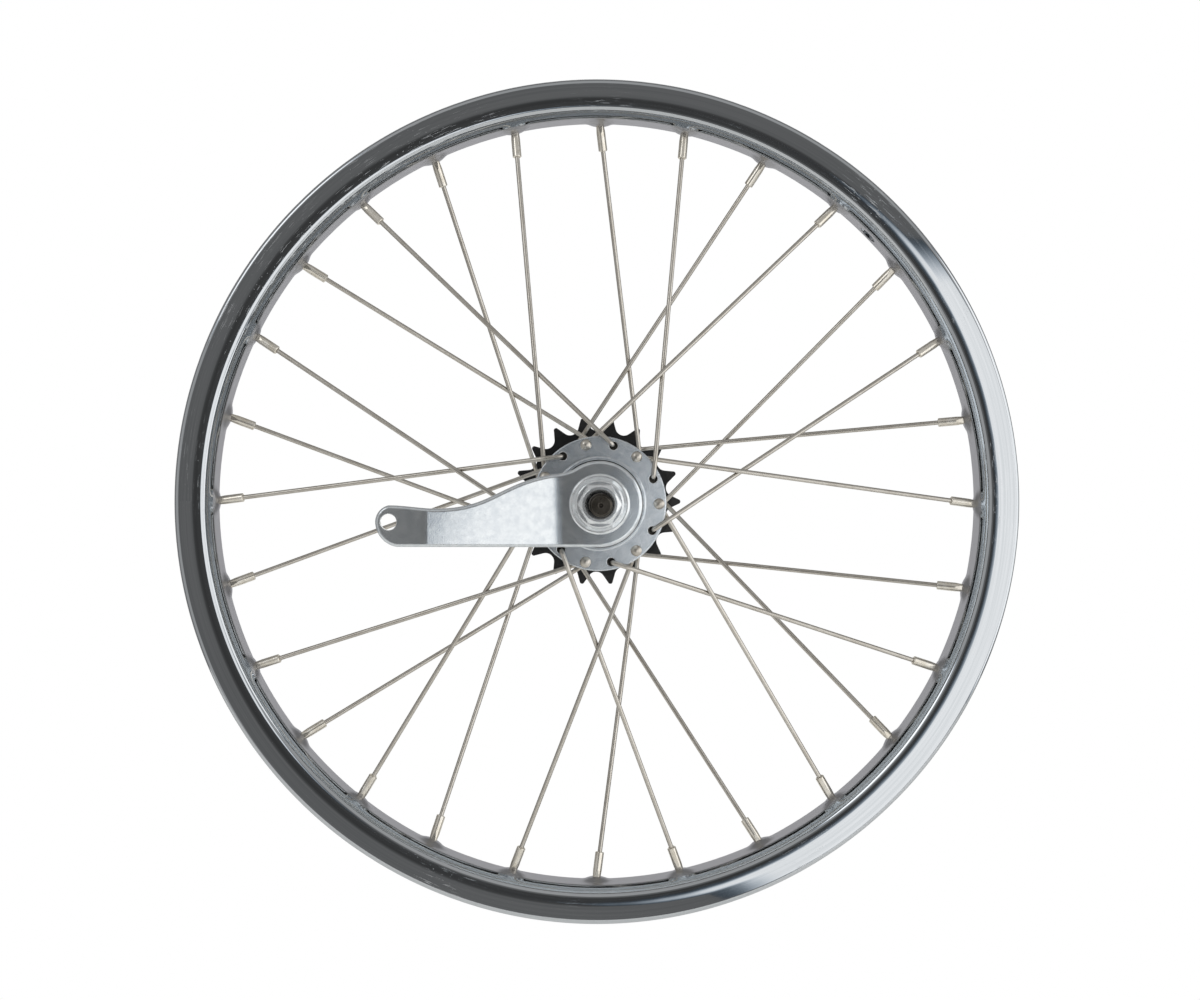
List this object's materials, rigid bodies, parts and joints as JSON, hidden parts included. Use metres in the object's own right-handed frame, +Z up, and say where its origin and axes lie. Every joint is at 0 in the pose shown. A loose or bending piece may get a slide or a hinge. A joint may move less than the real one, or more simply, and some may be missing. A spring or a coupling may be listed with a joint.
{
  "type": "bicycle rear wheel",
  "caption": "Spoked child's bicycle rear wheel: rolled steel rim, crossed wire spokes, a back-pedal brake hub with its reaction arm, and a chain sprocket. Opens for a tyre.",
  "frame": {"origin": "the wheel's centre, on the axle midway between its ends", "axes": "+Y along the axle towards the sprocket, +Z up with the valve hole at the upper right seen from -Y, -X along the brake arm"},
  "size_m": [0.37, 0.165, 0.37],
  "materials": {
    "chromed_steel": "polished chrome",
    "nickel_plate": "nickel-plated brass",
    "zinc_plate": "bright zinc plate",
    "spoke_steel": "drawn wire",
    "dark_steel": "oiled dark steel",
    "black_steel": "satin black",
    "ground_steel": "hardened and ground",
    "ball_steel": "polished",
    "cage_steel": "pressed sheet or wire",
    "shoe_bronze": "turned bronze"
  },
  "bodies": {
    "axle_set": {"axle": "dark_steel", "left_lock_nut": "zinc_plate", "brake_arm": "zinc_plate", "brake_cone": "ground_steel", "left_dust_cap": "zinc_plate", "right_cone": "ground_steel", "lock_washer": "zinc_plate", "right_lock_nut": "zinc_plate"},
    "wheel": {"rim": "chromed_steel", "nipples": "nickel_plate", "hub_shell": "zinc_plate", "spoke_left_out_1": "spoke_steel", "spoke_left_out_2": "spoke_steel", "spoke_left_out_3": "spoke_steel", "spoke_left_out_4": "spoke_steel", "spoke_left_out_5": "spoke_steel", "spoke_left_out_6": "spoke_steel", "spoke_left_out_7": "spoke_steel", "spoke_left_in_1": "spoke_steel", "spoke_left_in_2": "spoke_steel", "spoke_left_in_3": "spoke_steel", "spoke_left_in_4": "spoke_steel", "spoke_left_in_5": "spoke_steel", "spoke_left_in_6": "spoke_steel", "spoke_left_in_7": "spoke_steel", "spoke_right_out_1": "spoke_steel", "spoke_right_out_2": "spoke_steel", "spoke_right_out_3": "spoke_steel", "spoke_right_out_4": "spoke_steel", "spoke_right_out_5": "spoke_steel", "spoke_right_out_6": "spoke_steel", "spoke_right_out_7": "spoke_steel", "spoke_right_in_1": "spoke_steel", "spoke_right_in_2": "spoke_steel", "spoke_right_in_3": "spoke_steel", "spoke_right_in_4": "spoke_steel", "spoke_right_in_5": "spoke_steel", "spoke_right_in_6": "spoke_steel", "spoke_right_in_7": "spoke_steel"},
    "driver_set": {"driver": "ground_steel", "sprocket": "black_steel", "snap_ring": "black_steel", "right_dust_cap": "zinc_plate"},
    "clutch_set": {"clutch_cone": "ground_steel", "drag_spring": "cage_steel"},
    "upper_shoe": {"brake_shoe_upper": "shoe_bronze"},
    "lower_shoe": {"brake_shoe_lower": "shoe_bronze"},
    "left_bearing": {"left_balls": "ball_steel", "left_ball_cage": "cage_steel"},
    "driver_bearing": {"driver_balls": "ball_steel", "driver_ball_cage": "cage_steel"},
    "cone_bearing": {"cone_balls": "ball_steel", "cone_ball_cage": "cage_steel"}
  },
  "joints": [
    {"name": "wheel_spin", "type": "hinge", "parent": "axle_set", "child": "wheel", "pos_m": [0, 0, 0], "axis": [0, 1, 0], "continuous": true},
    {"name": "driver_spin", "type": "hinge", "parent": "axle_set", "child": "driver_set", "pos_m": [0, 0, 0], "axis": [0, 1, 0], "continuous": true},
    {"name": "left_bearing_spin", "type": "hinge", "parent": "axle_set", "child": "left_bearing", "pos_m": [0, 0, 0], "axis": [0, 1, 0], "continuous": true},
    {"name": "driver_bearing_spin", "type": "hinge", "parent": "axle_set", "child": "driver_bearing", "pos_m": [0, 0, 0], "axis": [0, 1, 0], "continuous": true},
    {"name": "cone_bearing_spin", "type": "hinge", "parent": "axle_set", "child": "cone_bearing", "pos_m": [0, 0, 0], "axis": [0, 1, 0], "continuous": true},
    {"name": "clutch_slide", "type": "slide", "parent": "driver_set", "child": "clutch_set", "axis": [0, -1, 0], "range_m": [0, 0.003]},
    {"name": "upper_shoe_slide", "type": "slide", "parent": "axle_set", "child": "upper_shoe", "axis": [0, 0, 1], "range_m": [0, 0.0003]},
    {"name": "lower_shoe_slide", "type": "slide", "parent": "axle_set", "child": "lower_shoe", "axis": [0, 0, -1], "range_m": [0, 0.0003]}
  ],
  "couplings": [
    {"joint": "left_bearing_spin", "follows": "wheel_spin", "ratio": 0.575},
    {"joint": "driver_bearing_spin", "follows": "wheel_spin", "ratio": 0.575},
    {"joint": "cone_bearing_spin", "follows": "driver_spin", "ratio": 0.5755},
    {"joint": "upper_shoe_slide", "follows": "clutch_slide", "ratio": 0.1},
    {"joint": "lower_shoe_slide", "follows": "clutch_slide", "ratio": 0.1}
  ]
}
